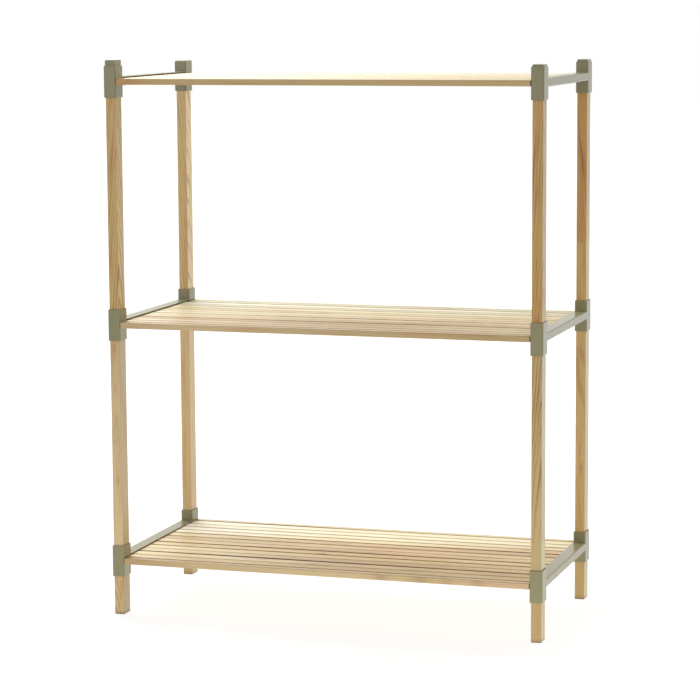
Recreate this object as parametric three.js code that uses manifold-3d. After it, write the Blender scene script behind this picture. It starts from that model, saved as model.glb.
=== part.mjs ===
// A free-standing shelving unit with three slatted pine shelves between powder-coated steel end frames.
// The posts are cut into short lengths, and each steel end frame has a sleeve of rectangular tube at the
// front and the back that takes a post end from below and one from above. Lengths are in millimetres. The
// origin is on the floor under the middle of the unit, with +X to the right, +Y to the back and +Z up.

import * as THREE from "three";
import { mergeVertices } from "three/addons/utils/BufferGeometryUtils.js";
import Module from "manifold-3d";

const wasm = await Module();
wasm.setup();

// Driving dimensions of the whole unit
const unitWidth = 693;
const unitDepth = 330;
const floorToBottomSleeve = 61;
const bottomToMiddleLevel = 373.5;
const middleToTopLevel = 376.5;

// Rectangular steel sleeves, deeper than they are wide, each with a stop plate halfway up
const sleeveWidth = 20;
const sleeveDepth = 30;
const sleeveWall = 1.5;
const sleeveHeight = 49;
const boreCornerRadius = 1;
const stopThickness = 2;

// Pine posts, a push fit in the sleeves
const postClearance = 0.5;
const postArris = 1;

// Side bar of each end frame: a folded channel, open towards the slats
const barRise = 7.5;
const barSheet = 1.2;
const barInnerBend = 0.8;
const slatHeadroom = 1.4;

// Pine slats, running from side to side. The first and the last are narrow. Short ones end at the sleeves.
const slatThickness = 9.3;
const slatGap = 4.6;
const slatArris = 1.2;
const slatEntry = 14;
const innerSlatCount = 12;
const edgeSlatWidth = 12;
const shortSlatCount = 2;
const shortSlatEndGap = 0.6;

// Steel pins in the inner faces of the sleeves, each in the end of a short slat
const pinRadius = 2;
const pinReach = 12;
const pinClearance = 0.3;

// Screws that come up through the channel into the long slats
const screwRadius = 1.6;
const screwReach = 5;
const screwClearance = 0.3;
const screwHeadRadius = 3.2;
const screwHeadHeight = 1.8;

// Plugs in the tops of the upper sleeves, and how far each one stands proud
const plugClearance = 0.3;
const plugFloorGap = 3;
const plugWall = 1.6;
const plugArris = 0.8;
const plugProud = { frontLeft: 8.7, frontRight: 3.2, backLeft: 0.6, backRight: 3.3 };

// Overrun of one shape into the next where two are joined or one is cut from the other
const overrun = 0.5;

// Sides of the screws' shanks and heads, sides of the pins, and pairs of facets on each rounded corner
const shankSides = 6;
const headSides = 8;
const pinSides = 8;
const cornerSteps = 1;

// Heights of the three levels, measured at the middle of the sleeves
const bottomLevel = floorToBottomSleeve + sleeveHeight / 2;
const middleLevel = bottomLevel + bottomToMiddleLevel;
const topLevel = middleLevel + middleToTopLevel;

// Places that several pieces share
const sleeveCornerRadius = boreCornerRadius + sleeveWall;
const boreX = sleeveWidth - 2 * sleeveWall;
const boreY = sleeveDepth - 2 * sleeveWall;
const boreLength = (sleeveHeight - stopThickness) / 2;
const plugLength = boreLength - plugFloorGap;
const sleeveX = (unitWidth - sleeveWidth) / 2;
const sleeveY = (unitDepth - sleeveDepth) / 2;
const innerFaceX = unitWidth / 2 - sleeveWidth;
const screwX = innerFaceX + slatEntry / 2;
const seatHeight = barRise - barSheet - slatHeadroom - slatThickness;

// The inner slats share the depth that the two edge slats leave
const innerSpan = unitDepth - 2 * (edgeSlatWidth + slatGap);
const innerSlatWidth = (innerSpan - (innerSlatCount - 1) * slatGap) / innerSlatCount;
const edgeSlatY = (unitDepth - edgeSlatWidth) / 2;
const slatCount = innerSlatCount + 2;
const pinHeight = seatHeight + slatThickness / 2;

// Finishes
const pine = new THREE.MeshStandardMaterial({ color: 0xc9a878, roughness: 0.6, metalness: 0 });
const palePine = new THREE.MeshStandardMaterial({ color: 0xe6d3ae, roughness: 0.6, metalness: 0 });
const coatedSteel = new THREE.MeshStandardMaterial({ color: 0x9b9a7c, roughness: 0.5, metalness: 0.2 });
const plugPlastic = new THREE.MeshStandardMaterial({ color: 0x8f8d6c, roughness: 0.55, metalness: 0 });

// A closed geometry as a solid that can be cut and joined
function solidFrom(geometry) {
  const bare = geometry.clone();
  bare.deleteAttribute("normal");
  bare.deleteAttribute("uv");
  const merged = mergeVertices(bare);
  const mesh = new wasm.Mesh({
    numProp: 3,
    vertProperties: merged.attributes.position.array,
    triVerts: new Uint32Array(merged.index.array),
  });
  return new wasm.Manifold(mesh);
}

// A solid back as a geometry with flat faces
function geometryFrom(solid) {
  const mesh = solid.getMesh();
  const geometry = new THREE.BufferGeometry();
  geometry.setAttribute("position", new THREE.BufferAttribute(mesh.vertProperties, 3));
  geometry.setIndex(new THREE.BufferAttribute(mesh.triVerts, 1));
  const flat = geometry.toNonIndexed();
  flat.computeVertexNormals();
  return flat;
}

// A block given by its lowest and highest corners
function block(low, high) {
  const size = new THREE.Vector3().subVectors(high, low);
  const middle = new THREE.Vector3().addVectors(low, high).divideScalar(2);
  const geometry = new THREE.BoxGeometry(size.x, size.y, size.z);
  return geometry.translate(middle.x, middle.y, middle.z);
}

// A rectangle about the origin with its four corners cut off
function cutCornerOutline(width, height, cut) {
  const x = width / 2;
  const y = height / 2;
  const outline = new THREE.Shape();
  outline.moveTo(cut - x, -y);
  outline.lineTo(x - cut, -y);
  outline.lineTo(x, cut - y);
  outline.lineTo(x, y - cut);
  outline.lineTo(x - cut, y);
  outline.lineTo(cut - x, y);
  outline.lineTo(-x, y - cut);
  outline.lineTo(-x, cut - y);
  return outline;
}

// A rectangle about the origin with rounded corners
function roundCornerOutline(width, height, radius) {
  const x = width / 2 - radius;
  const y = height / 2 - radius;
  const outline = new THREE.Shape();
  outline.absarc(x, y, radius, 0, Math.PI / 2);
  outline.absarc(-x, y, radius, Math.PI / 2, Math.PI);
  outline.absarc(-x, -y, radius, Math.PI, 1.5 * Math.PI);
  outline.absarc(x, -y, radius, 1.5 * Math.PI, 2 * Math.PI);
  return outline;
}

// A prism along Z from z = 0
function prism(outline, length) {
  const settings = { depth: length, bevelEnabled: false, curveSegments: cornerSteps };
  return new THREE.ExtrudeGeometry(outline, settings);
}

// A prism along Z from z = 0 with the edges of both ends eased at 45 degrees
function easedPrism(outline, length, easing) {
  const geometry = new THREE.ExtrudeGeometry(outline, {
    depth: length - 2 * easing,
    curveSegments: cornerSteps,
    bevelSegments: 1,
    bevelThickness: easing,
    bevelSize: easing,
    bevelOffset: -easing,
  });
  return geometry.translate(0, 0, easing);
}

// An upright round rod between two heights: a screw's shank or head, or the hole for it
function rod(x, y, radius, sides, low, high) {
  const geometry = new THREE.CylinderGeometry(radius, radius, high - low, sides);
  geometry.rotateX(Math.PI / 2);
  return geometry.translate(x, y, (low + high) / 2);
}

// A round rod along X between two places, at the height of the pins: a pin, or the hole for it
function levelRod(y, radius, sides, low, high) {
  const geometry = new THREE.CylinderGeometry(radius, radius, high - low, sides);
  geometry.rotateZ(Math.PI / 2);
  return geometry.translate((low + high) / 2, y, pinHeight);
}

// Whether a slat, counted from the front, is so near the front or the back that it ends at the sleeves
function isShortSlat(index) {
  return index < shortSlatCount || index >= slatCount - shortSlatCount;
}

// Where the middle of a slat lies, counted from the front
function slatY(index) {
  if (index === 0) return -edgeSlatY;
  if (index === slatCount - 1) return edgeSlatY;
  return (innerSlatWidth - innerSpan) / 2 + (index - 1) * (innerSlatWidth + slatGap);
}

// Where the pin in a short slat lies: in the middle of an edge slat, and otherwise as near the middle of
// the slat as the flat of the sleeve's inner face allows
function pinY(index) {
  const reach = unitDepth / 2 - sleeveDepth + sleeveCornerRadius + 2 * pinRadius;
  return Math.sign(slatY(index)) * Math.max(Math.abs(slatY(index)), reach);
}

// One end of the unit at one level, as a single weldment: two sleeves with their stop plates, the folded
// side bar, the pins, and the screws that hold the long slats. It is drawn for the right-hand end.
function endFrame() {
  const sleeveOutline = roundCornerOutline(sleeveWidth, sleeveDepth, sleeveCornerRadius);
  const boreOutline = roundCornerOutline(boreX, boreY, boreCornerRadius);
  const sleeve = solidFrom(prism(sleeveOutline, sleeveHeight));
  const bore = solidFrom(prism(boreOutline, boreLength + overrun));
  let frame = solidFrom(sideBar());
  for (const side of [-1, 1]) {
    frame = frame.add(sleeve.translate([sleeveX, side * sleeveY, -sleeveHeight / 2]));
  }
  for (const side of [-1, 1]) {
    const lowerFloor = -sleeveHeight / 2 - overrun;
    frame = frame.subtract(bore.translate([sleeveX, side * sleeveY, lowerFloor]));
    frame = frame.subtract(bore.translate([sleeveX, side * sleeveY, stopThickness / 2]));
  }
  const midSheet = seatHeight - barSheet / 2;
  const underHead = seatHeight - barSheet - screwHeadHeight;
  for (let index = 0; index < slatCount; index++) {
    if (isShortSlat(index)) {
      const inWall = innerFaceX + sleeveWall / 2;
      const pin = levelRod(pinY(index), pinRadius, pinSides, innerFaceX - pinReach, inWall);
      frame = frame.add(solidFrom(pin));
      continue;
    }
    const y = slatY(index);
    const shank = rod(screwX, y, screwRadius, shankSides, midSheet, seatHeight + screwReach);
    const head = rod(screwX, y, screwHeadRadius, headSides, underHead, midSheet);
    frame = frame.add(solidFrom(shank)).add(solidFrom(head));
  }
  return geometryFrom(frame);
}

// The folded channel between the sleeves: outer wall, two bends and two flanges, open towards the slats.
// It runs on into the sleeves as far as their rounded corners reach, and the bores are cut after it.
function sideBar() {
  const top = barRise;
  const bottom = seatHeight - barSheet;
  const outerBend = barInnerBend + barSheet;
  const bendX = unitWidth / 2 - outerBend;
  const upperBend = top - outerBend;
  const lowerBend = bottom + outerBend;
  const outline = new THREE.Shape();
  outline.moveTo(innerFaceX, seatHeight);
  outline.lineTo(innerFaceX, bottom);
  outline.absarc(bendX, lowerBend, outerBend, -Math.PI / 2, 0);
  outline.absarc(bendX, upperBend, outerBend, 0, Math.PI / 2);
  outline.lineTo(innerFaceX, top);
  outline.lineTo(innerFaceX, top - barSheet);
  outline.absarc(bendX, upperBend, barInnerBend, Math.PI / 2, 0, true);
  outline.absarc(bendX, lowerBend, barInnerBend, 0, -Math.PI / 2, true);
  const length = unitDepth - 2 * (sleeveDepth - sleeveCornerRadius);
  const channel = prism(outline, length).translate(0, 0, -length / 2);
  const turn = new THREE.Matrix4().makeBasis(
    new THREE.Vector3(1, 0, 0),
    new THREE.Vector3(0, 0, 1),
    new THREE.Vector3(0, -1, 0),
  );
  return channel.applyMatrix4(turn);
}

// A slat along X about the middle of the unit, with a blind hole for the screw or the pin at each end
function slat(index) {
  const isEdge = index === 0 || index === slatCount - 1;
  const width = isEdge ? edgeSlatWidth : innerSlatWidth;
  const halfLength = isShortSlat(index) ? innerFaceX - shortSlatEndGap : innerFaceX + slatEntry;
  const length = 2 * halfLength;
  const lying = new THREE.Matrix4().makeBasis(
    new THREE.Vector3(0, 1, 0),
    new THREE.Vector3(0, 0, 1),
    new THREE.Vector3(1, 0, 0),
  );
  const stick = prism(cutCornerOutline(width, slatThickness, slatArris), length);
  stick.translate(0, slatThickness / 2, -length / 2).applyMatrix4(lying);
  stick.translate(0, slatY(index), seatHeight);
  let solid = solidFrom(stick);
  for (const end of [-1, 1]) {
    solid = solid.subtract(solidFrom(isShortSlat(index) ? pinHole(index, end) : screwHole(index, end)));
  }
  return solid;
}

// The hole for a screw, up into a long slat, at one end of the unit
function screwHole(index, end) {
  const low = seatHeight - overrun;
  const high = seatHeight + screwReach + screwClearance;
  return rod(end * screwX, slatY(index), screwRadius + screwClearance, shankSides, low, high);
}

// The hole for a pin, in the end of a short slat, at one end of the unit
function pinHole(index, end) {
  const inner = end * (innerFaceX - pinReach - pinClearance);
  const outer = end * (innerFaceX + overrun);
  const low = Math.min(inner, outer);
  const high = Math.max(inner, outer);
  return levelRod(pinY(index), pinRadius + pinClearance, pinSides, low, high);
}

// Two neighbouring slats glued up as one piece, by a tongue at each end that lies inside the side bars
function slatPair(index) {
  const tongueLength = slatEntry / 2;
  const lowY = slatY(index) + innerSlatWidth / 2 - overrun;
  const highY = slatY(index + 1) - innerSlatWidth / 2 + overrun;
  const lowZ = seatHeight + slatArris;
  const highZ = seatHeight + slatThickness - slatArris;
  let pair = slat(index).add(slat(index + 1));
  for (const end of [-1, 1]) {
    const middleX = end * (innerFaceX + slatEntry / 2);
    const low = new THREE.Vector3(middleX - tongueLength / 2, lowY, lowZ);
    const high = new THREE.Vector3(middleX + tongueLength / 2, highY, highZ);
    pair = pair.add(solidFrom(block(low, high)));
  }
  return pair;
}

// A post length with eased long edges and ends
function postLength(length) {
  const width = boreX - 2 * postClearance;
  const depth = boreY - 2 * postClearance;
  return easedPrism(cutCornerOutline(width, depth, postArris), length, postArris);
}

// A plug: a rectangular cup, closed at the top and open below
function plug() {
  const width = boreX - 2 * plugClearance;
  const depth = boreY - 2 * plugClearance;
  const outline = roundCornerOutline(width, depth, boreCornerRadius);
  const shell = solidFrom(easedPrism(outline, plugLength, plugArris));
  const x = width / 2 - plugWall;
  const y = depth / 2 - plugWall;
  const low = new THREE.Vector3(-x, -y, -overrun);
  const high = new THREE.Vector3(x, y, plugLength - plugWall);
  return geometryFrom(shell.subtract(solidFrom(block(low, high))));
}

// A named piece with its finish
function piece(name, geometry, finish) {
  const mesh = new THREE.Mesh(geometry, finish.clone());
  mesh.name = name;
  return mesh;
}

const corners = [
  { name: "front_left", proud: plugProud.frontLeft, x: -sleeveX, y: -sleeveY },
  { name: "front_right", proud: plugProud.frontRight, x: sleeveX, y: -sleeveY },
  { name: "back_left", proud: plugProud.backLeft, x: -sleeveX, y: sleeveY },
  { name: "back_right", proud: plugProud.backRight, x: sleeveX, y: sleeveY },
];

const unit = new THREE.Group();

// Three shelves: a frame at each end and the slats between them. The last two long slats of each shelf
// are glued up as one piece, and on the top shelf so are the two before them.
const endFrameGeometry = endFrame();
const levels = [
  { name: "bottom", height: bottomLevel, pairCount: 1 },
  { name: "middle", height: middleLevel, pairCount: 1 },
  { name: "top", height: topLevel, pairCount: 2 },
];
for (const level of levels) {
  const shelf = new THREE.Group();
  shelf.position.z = level.height;
  const rightFrame = piece(level.name + "_end_frame_right", endFrameGeometry, coatedSteel);
  const leftFrame = piece(level.name + "_end_frame_left", endFrameGeometry, coatedSteel);
  leftFrame.rotation.z = Math.PI;
  shelf.add(rightFrame, leftFrame);
  for (let index = 0; index < slatCount; index++) {
    const longOnesBehind = slatCount - shortSlatCount - 1 - index;
    const isPair = longOnesBehind >= 0 && longOnesBehind < 2 * level.pairCount;
    if (isPair && longOnesBehind % 2 === 0) continue;
    const solid = isPair ? slatPair(index) : slat(index);
    const number = String(index + 1).padStart(2, "0");
    const name = level.name + (isPair ? "_slat_pair_" : "_slat_") + number;
    shelf.add(piece(name, geometryFrom(solid), palePine));
  }
  unit.add(shelf);
}

// Posts between the stop plates, and the plugs that close the top sleeves
const postRuns = [
  { name: "leg", low: 0, high: bottomLevel - stopThickness / 2 },
  { name: "middle_post", low: bottomLevel + stopThickness / 2, high: middleLevel - stopThickness / 2 },
  { name: "upper_post", low: middleLevel + stopThickness / 2, high: topLevel - stopThickness / 2 },
];
const plugGeometry = plug();
for (const corner of corners) {
  for (const run of postRuns) {
    const post = piece(run.name + "_" + corner.name, postLength(run.high - run.low), pine);
    post.position.set(corner.x, corner.y, run.low);
    unit.add(post);
  }
  const capPlug = piece("top_plug_" + corner.name, plugGeometry, plugPlastic);
  capPlug.position.set(corner.x, corner.y, topLevel + sleeveHeight / 2 + corner.proud - plugLength);
  unit.add(capPlug);
}

export default unit;
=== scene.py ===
import math

import bpy
import numpy as np
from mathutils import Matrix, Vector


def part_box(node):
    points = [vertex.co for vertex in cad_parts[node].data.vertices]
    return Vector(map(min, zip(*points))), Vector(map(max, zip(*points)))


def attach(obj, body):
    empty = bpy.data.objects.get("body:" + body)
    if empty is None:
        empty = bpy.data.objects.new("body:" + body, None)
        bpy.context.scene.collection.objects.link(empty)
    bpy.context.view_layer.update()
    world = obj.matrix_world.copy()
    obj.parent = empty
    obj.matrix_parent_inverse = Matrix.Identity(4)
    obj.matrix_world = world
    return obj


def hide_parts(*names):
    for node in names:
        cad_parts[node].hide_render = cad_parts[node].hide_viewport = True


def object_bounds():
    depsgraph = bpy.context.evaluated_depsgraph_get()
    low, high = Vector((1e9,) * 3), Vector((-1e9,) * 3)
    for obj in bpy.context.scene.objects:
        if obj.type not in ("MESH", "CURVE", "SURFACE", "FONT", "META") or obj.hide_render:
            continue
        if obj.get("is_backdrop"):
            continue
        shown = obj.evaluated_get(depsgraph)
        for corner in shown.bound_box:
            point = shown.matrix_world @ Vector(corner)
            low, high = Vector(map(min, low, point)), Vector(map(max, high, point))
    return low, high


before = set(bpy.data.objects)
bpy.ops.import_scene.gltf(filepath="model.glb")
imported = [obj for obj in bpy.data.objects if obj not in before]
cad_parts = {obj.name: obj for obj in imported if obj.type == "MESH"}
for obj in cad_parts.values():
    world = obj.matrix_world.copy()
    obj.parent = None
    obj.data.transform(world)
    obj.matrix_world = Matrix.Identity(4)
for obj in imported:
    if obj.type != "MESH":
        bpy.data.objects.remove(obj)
cad_low, cad_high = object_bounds()

# Pine posts
# Twelve short lengths of planed Scots pine, 16 by 26 mm, oiled to a satin sheen, with the arrises sanded
# round. Some are finger-jointed from two pieces of wood. They are pushed into the steel sleeves.
MM = 0.001
ARRIS_STEPS = 4
STATION_SPACING = 1.5
STATION_MARGIN = 2

# Sizes in the pine's figure, in millimetres across the grain and along it. The third value of a wave is
# how far it moves the rings.
RING_WAVES = ((60, 260, 13.0), (9, 70, 2.4))
RING_FADING = (16, 110)
HEART_STREAK = (7, 130)
FIBRE = (0.5, 30)


def rounded_rectangle(width, height, radius, steps=ARRIS_STEPS):
    """Points and outward normals round a rectangle: each corner's arc is its centre plus the radius along
    an angle that runs on from one corner to the next."""
    corner = np.arange(4)[:, None]
    angle = (corner + np.arange(steps + 1)[None, :] / steps) * math.pi / 2
    outward = np.stack([np.cos(angle), np.sin(angle)], axis=-1)
    middle = (corner + 0.5) * math.pi / 2
    sides = np.sign(np.stack([np.cos(middle), np.sin(middle)], axis=-1))
    centres = sides * (np.array([width, height]) / 2 - radius)
    return (centres + radius * outward).reshape(-1, 2), outward.reshape(-1, 2)


def with_points_across(section, outward, count):
    """The same outline with points added along its straight runs, so that a ring can rise and fall there."""
    points = []
    normals = []
    for start, end, normal_start, normal_end in zip(
        section, np.roll(section, -1, 0), outward, np.roll(outward, -1, 0)
    ):
        is_straight = np.allclose(normal_start, normal_end, atol=1e-6)
        share = np.arange(count)[:, None] / count if is_straight else np.zeros((1, 1))
        points.append(start + share * (end - start))
        normals.append(np.repeat(normal_start[None], len(share), 0))
    return np.concatenate(points), np.concatenate(normals)


def carried(section, outward, path, lift=None):
    """Carries a flat outline along Z. Each row of the path says how far the outline is drawn in, its
    height, and how the surface faces there, as the outward and upward shares of its normal. Flat caps
    close the first and the last ring. Returns points, normals and faces."""
    inset, height, out_share, up_share = np.array(path, float).T
    rings = np.empty((len(inset), len(section), 3))
    rings[..., :2] = section - inset[:, None, None] * outward
    rings[..., 2] = height[:, None]
    if lift is not None:
        rings[..., 2] += lift
    normals = np.empty_like(rings)
    normals[..., :2] = out_share[:, None, None] * outward
    normals[..., 2] = up_share[:, None]
    number = np.arange(rings[..., 0].size).reshape(rings.shape[:2])
    ahead = np.roll(number, -1, axis=1)
    quads = np.stack([number[:-1], ahead[:-1], ahead[1:], number[1:]], axis=-1).reshape(-1, 4)
    faces = quads.tolist() + [number[0, ::-1].tolist(), number[-1].tolist()]
    return rings.reshape(-1, 3), normals.reshape(-1, 3), faces


def quarter_round(radius, steps, low, high):
    """Path rows for a stick from low to high whose ends are rounded over: a quarter circle in, along, and
    a quarter circle out."""
    angle = np.arange(steps + 1) / steps * math.pi / 2
    inset = radius * (1 - np.sin(angle))
    rise = radius * (1 - np.cos(angle))
    start = np.stack([inset, low + rise, np.sin(angle), -np.cos(angle)], axis=-1)
    end = np.stack([inset, high - rise, np.sin(angle), np.cos(angle)], axis=-1)[::-1]
    return start, end


def joined(shapes):
    """Several shapes as one: the points and normals follow one another, and the faces are renumbered."""
    points = np.concatenate([shape[0] for shape in shapes])
    normals = np.concatenate([shape[1] for shape in shapes])
    faces = []
    passed = 0
    for shape in shapes:
        faces += [[corner + passed for corner in face] for face in shape[2]]
        passed += len(shape[0])
    return points, normals, faces


def new_piece(name, shape, material):
    """A mesh object from points and normals in millimetres, with each corner shaded by its own normal."""
    points, normals, faces = shape
    mesh = bpy.data.meshes.new(name)
    mesh.from_pydata((points * MM).tolist(), [], faces)
    mesh.polygons.foreach_set("use_smooth", np.ones(len(faces), bool))
    mesh.normals_split_custom_set_from_vertices(normals.tolist())
    mesh.materials.append(material)
    piece = bpy.data.objects.new(name, mesh)
    bpy.context.scene.collection.objects.link(piece)
    return piece


def corner_values(piece, name, values):
    """Writes one vector for each face corner, so that a value may change from one face to the next."""
    attribute = piece.data.attributes.new(name, "FLOAT_VECTOR", "CORNER")
    attribute.data.foreach_set("vector", np.ascontiguousarray(values, np.float32).ravel())


def linear(code):
    """A colour written as an sRGB hex value, as linear red, green, blue and alpha."""
    shares = [int(code[i:i + 2], 16) / 255 for i in (1, 3, 5)]
    return [s / 12.92 if s <= 0.04045 else ((s + 0.055) / 1.055) ** 2.4 for s in shares] + [1.0]


def add_node(tree, kind, settings, inputs):
    """Adds a node. Settings are its own properties. An input, by its name or number, takes a value, a
    socket, or a node, which gives its first output."""
    node = tree.nodes.new("ShaderNode" + kind)
    for key, value in settings.items():
        setattr(node, key, value)
    for key, value in inputs.items():
        usable = [s for s in node.inputs if s.enabled]
        target = node.inputs[key] if isinstance(key, int) else next(s for s in usable if s.name == key)
        if isinstance(value, bpy.types.Node):
            value = next(s for s in value.outputs if s.enabled)
        if isinstance(value, bpy.types.NodeSocket):
            tree.links.new(value, target)
        else:
            target.default_value = value
    return node


def new_material(name):
    """An empty node material and its output node."""
    material = bpy.data.materials.new(name)
    material.use_nodes = True
    material.node_tree.nodes.clear()
    return material, material.node_tree


def grain_scaled(tree, grain, across, along):
    """The place in the grain, with this many millimetres across it and along it for one unit."""
    scale = (1 / across, 1 / across, 1 / along)
    return add_node(tree, "VectorMath", {"operation": "MULTIPLY"}, {0: grain, 1: scale})


def planed_pine(name, late, heart, roughness):
    """Planed and oiled Scots pine. Pale earlywood alternates with narrow latewood that darkens slowly and
    ends sharply, round a pith outside the stick, so some faces show arches and others show lines. The grain
    attribute holds millimetres from the pith, with the length in Z. The tone attribute is the earlywood's
    colour, which late multiplies for the latewood and heart for streaks of orange heartwood. The habit
    attribute holds the ring width, the contrast of the rings and a seed."""
    material, tree = new_material(name)
    grain = add_node(tree, "Attribute", {"attribute_name": "grain"}, {}).outputs["Vector"]
    tone = add_node(tree, "Attribute", {"attribute_name": "tone"}, {}).outputs["Color"]
    habit = add_node(tree, "Attribute", {"attribute_name": "habit"}, {}).outputs["Vector"]
    ring_width, contrast, seed = add_node(tree, "SeparateXYZ", {}, {"Vector": habit}).outputs

    # Growth rings, made uneven by slow waves and by quick ones
    bent = grain
    for across, along, reach in RING_WAVES:
        scaled = grain_scaled(tree, grain, across, along)
        waves = add_node(
            tree, "TexNoise", {"noise_dimensions": "4D"},
            {"Vector": scaled, "W": seed, "Scale": 1.0, "Detail": 2.0, "Roughness": 0.45},
        ).outputs["Color"]
        bend = add_node(tree, "VectorMath", {"operation": "SUBTRACT"}, {0: waves, 1: (0.5, 0.5, 0.5)})
        bend = add_node(tree, "VectorMath", {"operation": "MULTIPLY"}, {0: bend, 1: (reach, reach, 0.0)})
        bent = add_node(tree, "VectorMath", {"operation": "ADD"}, {0: bent, 1: bend})
    flat = add_node(tree, "VectorMath", {"operation": "MULTIPLY"}, {0: bent, 1: (1.0, 1.0, 0.0)})
    radius = add_node(tree, "VectorMath", {"operation": "LENGTH"}, {0: flat}).outputs["Value"]
    years = add_node(tree, "Math", {"operation": "DIVIDE"}, {0: radius, 1: ring_width})
    uneven = add_node(
        tree, "TexNoise", {"noise_dimensions": "2D"},
        {"Vector": add_node(tree, "CombineXYZ", {}, {"X": years, "Y": seed}), "Scale": 0.55, "Detail": 1.0},
    )
    years = add_node(tree, "Math", {"operation": "MULTIPLY_ADD"}, {0: uneven, 1: 1.6, 2: years})
    season = add_node(tree, "Math", {"operation": "FRACT"}, {0: years})
    latewood = add_node(tree, "ValToRGB", {}, {"Fac": season})
    ramp = latewood.color_ramp
    ramp.interpolation = "EASE"
    ramp.elements[0].position = 0.48
    ramp.elements[0].color = (0, 0, 0, 1)
    ramp.elements[1].position = 0.86
    ramp.elements[1].color = (1, 1, 1, 1)
    for position, level in ((0.93, 0.9), (0.99, 0.0)):
        element = ramp.elements.new(position)
        element.color = (level, level, level, 1)

    # The rings fade in and out
    scaled = grain_scaled(tree, grain, *RING_FADING)
    fading = add_node(
        tree, "TexNoise", {"noise_dimensions": "4D"},
        {"Vector": scaled, "W": seed, "Scale": 1.0, "Detail": 1.0},
    )
    strength = add_node(
        tree, "MapRange", {},
        {"Value": fading, "From Min": 0.36, "From Max": 0.64, "To Min": 0.3, "To Max": 1.15},
    )
    strength = add_node(tree, "Math", {"operation": "MULTIPLY"}, {0: strength, 1: contrast})
    depth = add_node(tree, "Math", {"operation": "MULTIPLY"}, {0: latewood.outputs["Color"], 1: strength})

    # Streaks of heartwood
    scaled = grain_scaled(tree, grain, *HEART_STREAK)
    patchy = add_node(
        tree, "TexNoise", {"noise_dimensions": "4D"},
        {"Vector": scaled, "W": seed, "Scale": 1.0, "Detail": 1.0, "Roughness": 0.5},
    )
    share = add_node(
        tree, "MapRange", {"interpolation_type": "SMOOTHSTEP"},
        {"Value": patchy, "From Min": 0.5, "From Max": 0.78, "To Min": 0.0, "To Max": 0.9},
    )

    # Fibres, drawn coarser than real ones so that they show
    fine = grain_scaled(tree, grain, *FIBRE)
    fibres = add_node(
        tree, "TexNoise", {"noise_dimensions": "3D"}, {"Vector": fine, "Scale": 1.0, "Detail": 3.0},
    )
    streak = add_node(
        tree, "MapRange", {},
        {"Value": fibres, "From Min": 0.3, "From Max": 0.7, "To Min": 0.93, "To Max": 1.05},
    )

    hearted = add_node(
        tree, "Mix", {"data_type": "RGBA", "blend_type": "MULTIPLY"},
        {"Factor": share, "A": tone, "B": linear(heart)},
    )
    wood = add_node(
        tree, "Mix", {"data_type": "RGBA", "blend_type": "MULTIPLY"},
        {"Factor": depth, "A": hearted, "B": linear(late)},
    )
    shaded = add_node(tree, "VectorMath", {"operation": "SCALE"}, {0: wood, "Scale": streak})
    gloss = add_node(tree, "Math", {"operation": "MULTIPLY_ADD"}, {0: fibres, 1: -0.2, 2: roughness + 0.1})
    relief = add_node(tree, "Math", {"operation": "MULTIPLY_ADD"}, {0: depth, 1: 0.8, 2: fibres})
    bump = add_node(tree, "Bump", {}, {"Strength": 0.35, "Distance": 0.06 * MM, "Height": relief})
    surface = add_node(
        tree, "BsdfPrincipled", {}, {"Base Color": shaded, "Roughness": gloss, "Normal": bump},
    )
    add_node(tree, "OutputMaterial", {}, {"Surface": surface})
    return material


post_pine = planed_pine("oiled pine posts", "#cabca5", "#f6dfc6", 0.3)

# How each length of wood lies in its log: how far its middle is from the pith and in which direction, the
# pith's lean along the stick, the ring width, the contrast of the rings, the earlywood's colour, and its
# colour on the left and right faces, which is painted light and shade: lighter or darker than the front
# as the light falls on those faces. Where there are two lengths, the second is above the finger joint.
POST_ARRIS = 1.4
POST_END_ROUND = 0.8
POST_END_STEPS = 3
POST_SIDE_POINTS = 12
POST_STATIONS = 13
FINGER_PITCH = 3.8
FINGER_LENGTH = 10
UPPER_WOOD_SEED = 20
FINGER_JOINTS = {"middle_post_front_right": 152.7, "upper_post_back_right": 575.7}
# The back posts above the legs have lighter earlywood than the front ones, partly from the wood and partly
# as painted light for the light that falls on their front faces.
POSTS = {
    "leg_front_left": [(24, 75, 0.14, 3.4, 1.0, "#caae79", "#ae9b70")],
    "leg_front_right": [(60, 20, 0.01, 3.0, 0.35, "#b99b68", "#c0a474")],
    "leg_back_left": [(50, 40, 0.01, 3.0, 0.5, "#c4a66d", "#c4a66d")],
    "leg_back_right": [(48, 35, 0.01, 2.6, 0.4, "#bd9f65", "#c8b478")],
    "middle_post_front_left": [(40, 88, 0.02, 5.0, 0.3, "#d7bc8d", "#c4ae7d")],
    "middle_post_front_right": [
        (60, 15, 0.005, 4.0, 0.2, "#bea672", "#c1b888"), (22, 115, 0.06, 3.4, 1.0, "#c3a771", "#c5b987"),
    ],
    "middle_post_back_left": [(55, 25, 0.006, 4.0, 0.15, "#ddc08c", "#ddc08c")],
    "middle_post_back_right": [(34, 75, 0.05, 4.2, 0.45, "#d3b377", "#cfb883")],
    "upper_post_front_left": [(40, 160, 0.11, 4.4, 1.2, "#d4b273", "#d7b971")],
    "upper_post_front_right": [(42, 172, 0.07, 4.6, 0.9, "#cda462", "#bda25e")],
    "upper_post_back_left": [(50, 15, 0.12, 4.2, 0.9, "#e7cb8f", "#fce4ae")],
    "upper_post_back_right": [
        (45, 10, 0.02, 4.0, 0.4, "#d6b172", "#d5c080"), (40, 20, 0.12, 4.4, 0.5, "#d0a35e", "#cfb169"),
    ],
}

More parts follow.
